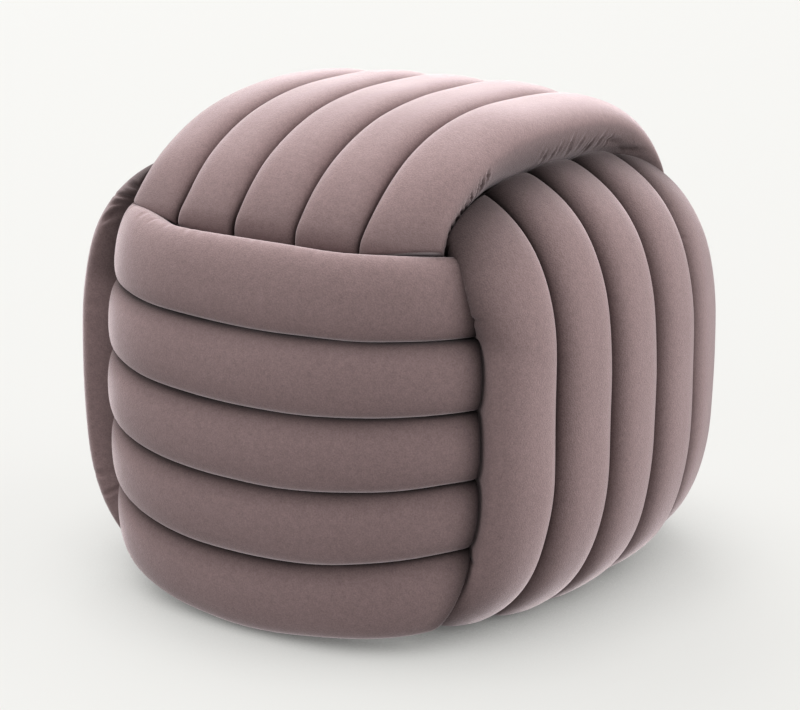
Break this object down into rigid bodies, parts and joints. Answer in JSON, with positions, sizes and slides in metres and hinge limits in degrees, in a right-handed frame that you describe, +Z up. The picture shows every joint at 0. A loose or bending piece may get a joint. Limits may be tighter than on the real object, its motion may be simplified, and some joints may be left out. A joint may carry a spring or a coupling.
{
  "type": "braided velvet pouf",
  "caption": "Rounded cube floor pouf braided from stuffed velvet tubes, a soft low seat or footrest that stands flat on the floor.",
  "frame": {"origin": "on the floor, under the middle of the pouf", "axes": "+Z up, the front face with the level belt tubes towards -Y, the upright flank tubes towards +X and -X"},
  "size_m": [0.459, 0.475, 0.4],
  "materials": {
    "velvet": "short-pile matte velvet"
  },
  "bodies": {
    "root": {"crown_loop_1": "velvet", "crown_loop_2": "velvet", "crown_loop_3": "velvet", "crown_loop_4": "velvet", "crown_loop_5": "velvet", "belt_loop_1": "velvet", "belt_loop_2": "velvet", "belt_loop_3": "velvet", "belt_loop_4": "velvet", "belt_loop_5": "velvet", "flank_loop_1": "velvet", "flank_loop_2": "velvet", "flank_loop_3": "velvet", "flank_loop_4": "velvet", "flank_loop_5": "velvet"}
  },
  "joints": []
}
